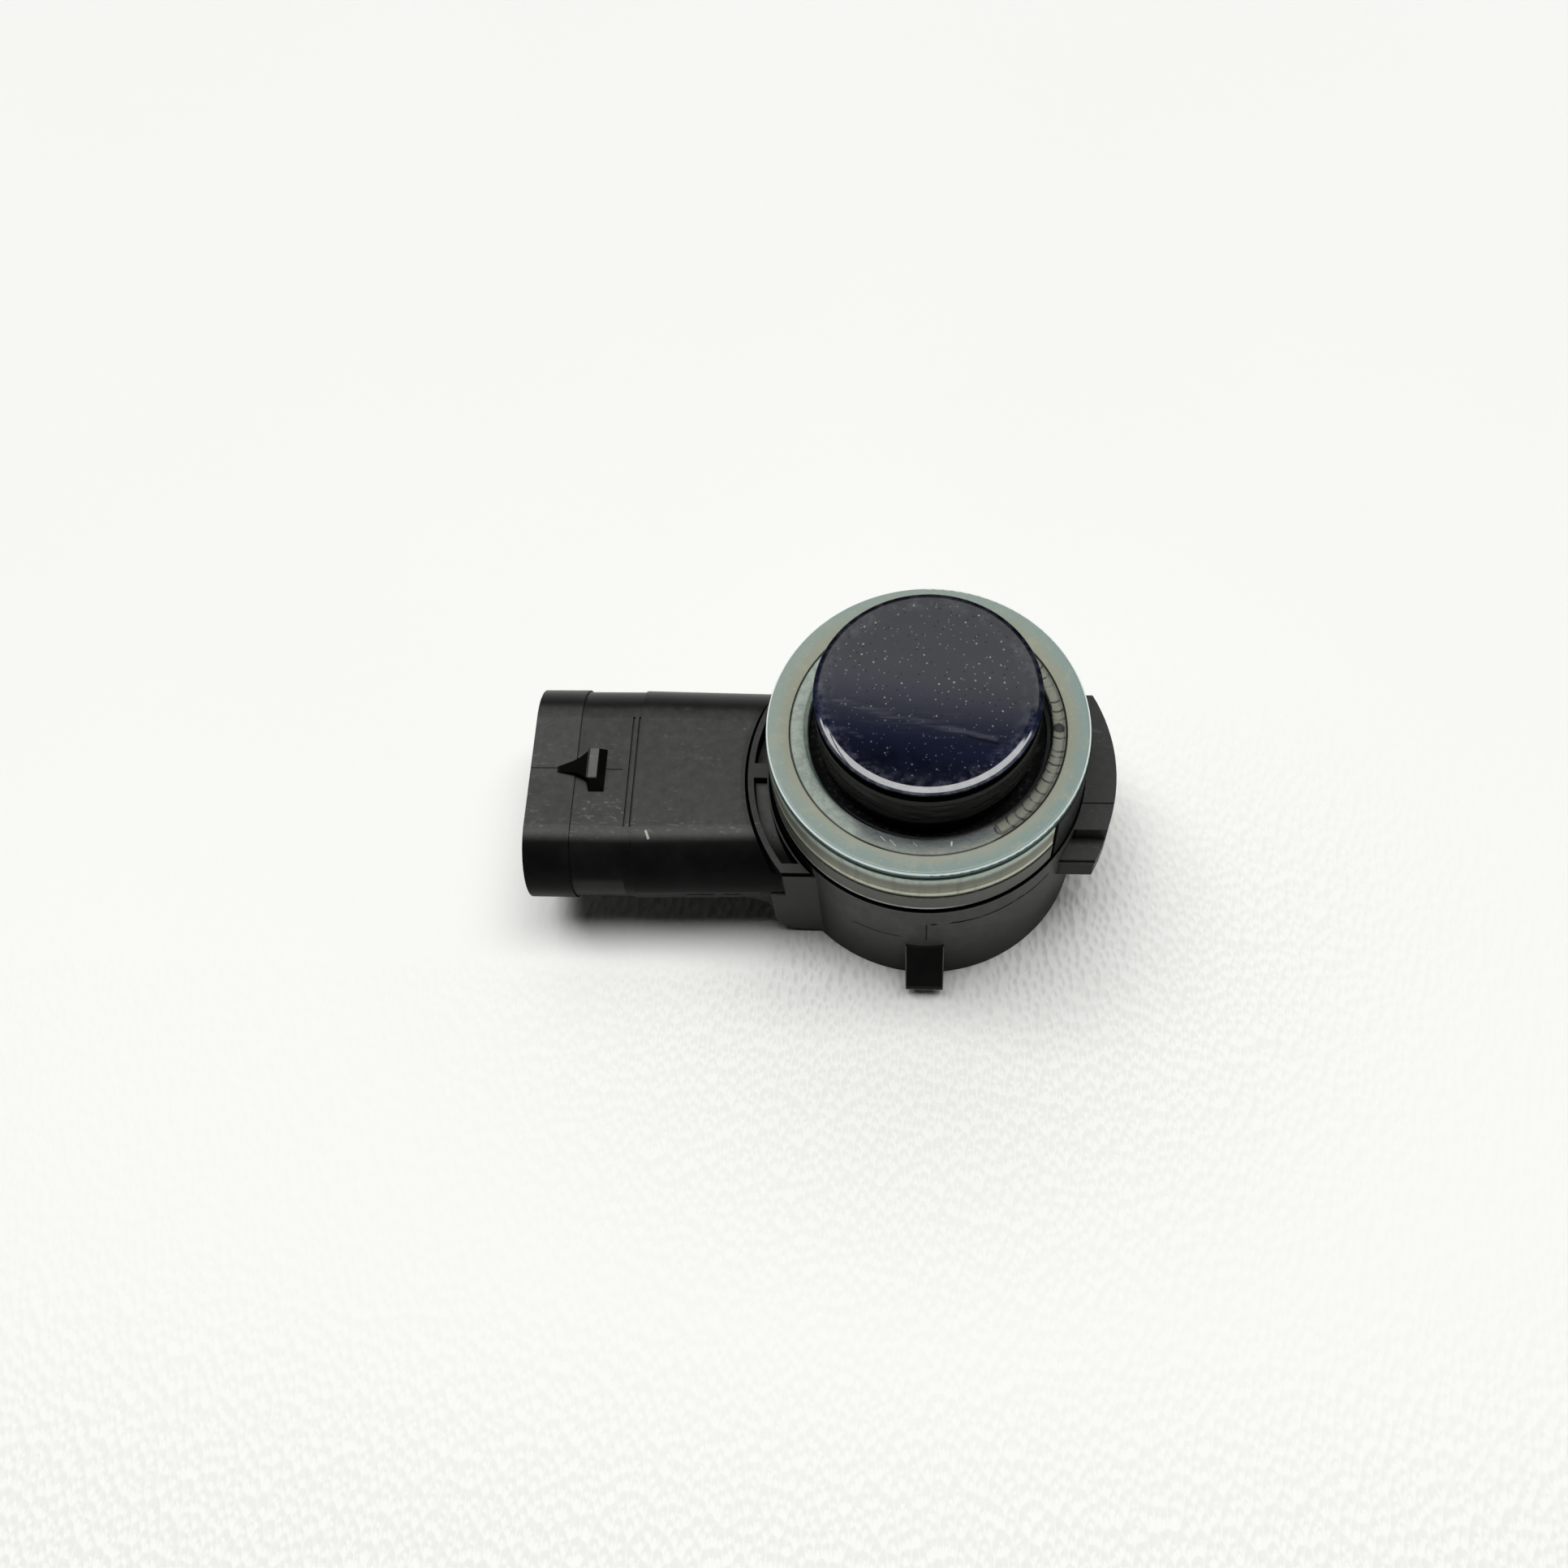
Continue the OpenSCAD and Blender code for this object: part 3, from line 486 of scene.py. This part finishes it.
def sealant_rope():
    """A low crinkled rope on the bead: it swells between its creases and closes at both ends."""
    steps, sides = 320, 12
    crease_width, crease_depth, ripple, blunt = 0.8, 0.15, 0.04, 0.12
    corners = []
    for step in range(steps + 1):
        turn = ROPE_START + (ROPE_END - ROPE_START) * step / steps
        nip = max(math.exp(-((turn - crease) / crease_width) ** 2) for crease in CREASES)
        tail = min(turn - ROPE_START, ROPE_END - turn, ROPE_TAIL) / ROPE_TAIL
        full = max(math.sqrt(1.0 - (1.0 - tail) ** 2), blunt)
        swell = full * (1.0 - crease_depth * nip + ripple * math.sin(turn * 0.8))
        for side in range(sides):
            around = 2.0 * math.pi * side / sides
            out = ROPE_R + ROPE_HALF * swell * math.cos(around)
            corners.append((out * math.cos(math.radians(turn)) * MM,
                            (out * math.sin(math.radians(turn)) - BEAD_SHIFT) * MM,
                            (ROPE_Z + ROPE_RISE * swell * math.sin(around)) * MM))
    quads = []
    for row in range(steps):
        here, onward = row * sides, (row + 1) * sides
        for side in range(sides):
            beside = (side + 1) % sides
            quads.append((here + side, here + beside, onward + beside, onward + side))
    caps = [tuple(reversed(range(sides))), tuple(range(steps * sides, (steps + 1) * sides))]
    mesh = bpy.data.meshes.new("sealant_rope")
    mesh.from_pydata(corners, [], [face[::-1] for face in quads + caps])
    mesh.polygons.foreach_set("use_smooth", [True] * len(mesh.polygons))
    mesh.materials.append(bpy.data.materials["bead_sealant"])
    piece = bpy.data.objects.new("sealant_rope", mesh)
    bpy.context.scene.collection.objects.link(piece)
    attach(piece, "root")


def inner_finish(name, pieces, dark, painted_table_reflection, per_mm, rough, metal=0.0, relief=0.3):
    """A finish for a piece inside: two close tones, uneven sheen, fine relief."""
    f = finish_for(name, *pieces)
    spot = f.place()[0]
    tone = f.noise(spot, per_mm, 3.0)
    f.surface(**{"Base Color": f.mix(tone.rise(0.3, 0.7), dark, painted_table_reflection), "Roughness": rough + tone * 0.2,
                 "Metallic": metal, "Normal": f.softened(0.04, tone, relief, 0.02)})


def winding_finish():
    """Enamelled copper wire, its turns side by side."""
    f = finish_for("copper_winding", "transformer_winding")
    z = f.place()[3]
    # Each turn is painted darker towards the grooves between turns, a painted shade.
    turns = (z * 40.0).sin() * 0.5 + 0.5
    f.surface(**{"Base Color": f.mix(turns, (0.22, 0.06, 0.02), (0.62, 0.25, 0.10)),
                 "Roughness": 0.3 + turns * 0.1, "Metallic": 0.9,
                 "Normal": f.softened(0.02, turns, 0.6, 0.05)})


def board_finish():
    """Green solder resist, paler over the tracks."""
    f = finish_for("board_resist", "circuit_board")
    spot = f.place()[0]
    tracks = f.node("ShaderNodeTexVoronoi", {"feature": "DISTANCE_TO_EDGE"},
                    {"Vector": spot, "Scale": 0.55})
    tracks = tracks.rise(0.10, 0.06)
    f.surface(**{"Base Color": f.mix(tracks * 0.6, (0.008, 0.07, 0.03), (0.03, 0.17, 0.07)),
                 "Roughness": 0.3 + f.noise(spot, 3.0) * 0.15,
                 "Normal": f.softened(0.03, tracks, 0.4, 0.03)})


housing_finish()
rear_cover_finish()
cup_finish()
silicone_finish()
bead_finish()
sealant_rope()
winding_finish()
board_finish()
inner_finish("piezo_ceramic", ["piezo_disc"], (0.48, 0.44, 0.34), (0.66, 0.62, 0.52), 2.0, 0.45)
inner_finish("foam", ["damping_foam"], (0.05, 0.05, 0.055), (0.16, 0.16, 0.17), 4.0, 0.8, 0.0, 1.0)
inner_finish("red_insulation", ["signal_lead"], (0.35, 0.02, 0.015), (0.5, 0.05, 0.04), 2.0, 0.4)
inner_finish("black_insulation", ["ground_lead"], (0.012, 0.012, 0.012), (0.03, 0.03, 0.03), 2.0, 0.4)
inner_finish("chip_package", ["control_chip", "clamp_diodes"],
             (0.012, 0.012, 0.012), (0.03, 0.03, 0.03), 5.0, 0.55)
inner_finish("transformer_foot", ["transformer_base"],
             (0.015, 0.015, 0.015), (0.035, 0.035, 0.035), 3.0, 0.5)
inner_finish("ferrite", ["transformer_core"],
             (0.03, 0.03, 0.032), (0.07, 0.07, 0.075), 6.0, 0.6, 0.2, 0.6)
inner_finish("drawn_can", ["storage_capacitor"], (0.5, 0.5, 0.52), (0.7, 0.7, 0.72), 1.5, 0.3, 1.0)
inner_finish("capacitor_ceramic", ["chip_capacitors"], (0.35, 0.24, 0.13), (0.5, 0.36, 0.22), 4.0, 0.5)
inner_finish("resistor_ceramic", ["chip_resistors"], (0.02, 0.02, 0.025), (0.06, 0.06, 0.07), 4.0, 0.45)
inner_finish("tinned_blade", ["supply_pin", "signal_pin", "ground_pin"],
             (0.5, 0.47, 0.42), (0.72, 0.69, 0.63), 2.5, 0.25, 1.0)
inner_finish("cast_resin", ["potting_resin"], (0.012, 0.013, 0.015), (0.03, 0.032, 0.035), 0.8, 0.25)


# Table: pale pebbled cloth under the sensor.
table_mesh = bpy.data.meshes.new("table_top")
reach = 1.5
table_mesh.from_pydata([(-reach, -reach, 0), (reach, -reach, 0), (reach, reach, 0), (-reach, reach, 0)],
                       [], [(0, 1, 2, 3)])
table_top = bpy.data.objects.new("table_top", table_mesh)
bpy.context.scene.collection.objects.link(table_top)
table_mesh.materials.append(bpy.data.materials.new("pebbled_cloth"))
cloth = Finish(table_mesh.materials[0])
spot, x, y = cloth.place()[:3]
pebble = cloth.node("ShaderNodeTexVoronoi", {"voronoi_dimensions": "2D", "feature": "SMOOTH_F1"},
                    {"Vector": cloth.stretched(spot, (1.0, 0.55, 1.0), 0.5), "Scale": 1.8,
                     "Smoothness": 0.5})
# Pebbles show round the sensor and near the camera, less in the shadow under the connector.
around = away(x, y).rise(48.0, 16.0).most(y.rise(-30.0, -58.0) * 0.8)
under = x.rise(-11.0, -13.0) * y.rise(-13.0, -10.0)
shown = (around * 0.85 + 0.15) * y.rise(22.0, -10.0) * (1.0 - under * 0.7)
shade = cloth.noise(spot, 0.02, 2.0, 0.5, "2D")
cloth.surface(**{"Base Color": cloth.mix(shade, (0.92, 0.925, 0.905), (0.94, 0.94, 0.925)),
                 "Roughness": 0.55, "Specular IOR Level": 0.3,
                 "Normal": cloth.relief(pebble * shown, 0.8, 0.32)})

# Camera at the photograph's viewing angle: where it is, its axes, its focal length per picture width.
CAMERA_AT = Vector((-0.237, -52.07, 118.109)) * MM
CAMERA_RIGHT = Vector((0.996, 0.047, -0.073))
CAMERA_BACK = Vector((0.087, -0.43, 0.898))
FOCAL_SHARE = 1963.705 / 1932.0
SENSOR_WIDTH = 36.0
eye = bpy.data.cameras.new("eye")
eye.sensor_fit = "HORIZONTAL"
eye.sensor_width = SENSOR_WIDTH
eye.lens = SENSOR_WIDTH * FOCAL_SHARE
eye.clip_start = 0.004
camera = bpy.data.objects.new("eye", eye)
bpy.context.scene.collection.objects.link(camera)
back = CAMERA_BACK.normalized()
right = (CAMERA_RIGHT - back * CAMERA_RIGHT.dot(back)).normalized()
above = back.cross(right)
axes = Matrix((right, above, back)).transposed().to_4x4()
camera.matrix_world = Matrix.Translation(CAMERA_AT) @ axes
bpy.context.scene.camera = camera

# Room: an arched soft box overhead, a pale wall high at the back, a pale horizon and dim sides.
world = bpy.data.worlds.new("room")
bpy.context.scene.world = world
room = Finish(world)
toward = room.node("ShaderNodeTexCoord", {}, {}, "Generated")
to_x, to_y, to_z = room.parts(toward)
near = to_y * 0.475 + to_z * 0.88
ahead = to_y * 0.88 - to_z * 0.475 + to_x * 0.07
arch = near.rise(0.800, 0.815) * near.rise(0.983, 0.974) * ahead.rise(-0.102, -0.132)
wall = (to_x * 0.09 + to_y * 0.8475 - to_z * 0.456).rise(-0.022, 0.026)
wall = wall * (near.rise(0.905, 0.945) * 0.9 + 0.1)
horizon = to_z.rise(0.42, 0.2) * (to_y.rise(-0.3, 0.5) * 0.94 + 0.06)
glow = 0.012 + arch * 6.95 + wall * 0.98 + horizon * 0.2
room.node("ShaderNodeOutputWorld", {}, {"Surface": room.node(
    "ShaderNodeBackground", {}, {"Color": (1.0, 1.0, 0.985, 1.0), "Strength": glow})})

bpy.context.scene.view_settings.view_transform = "Standard"
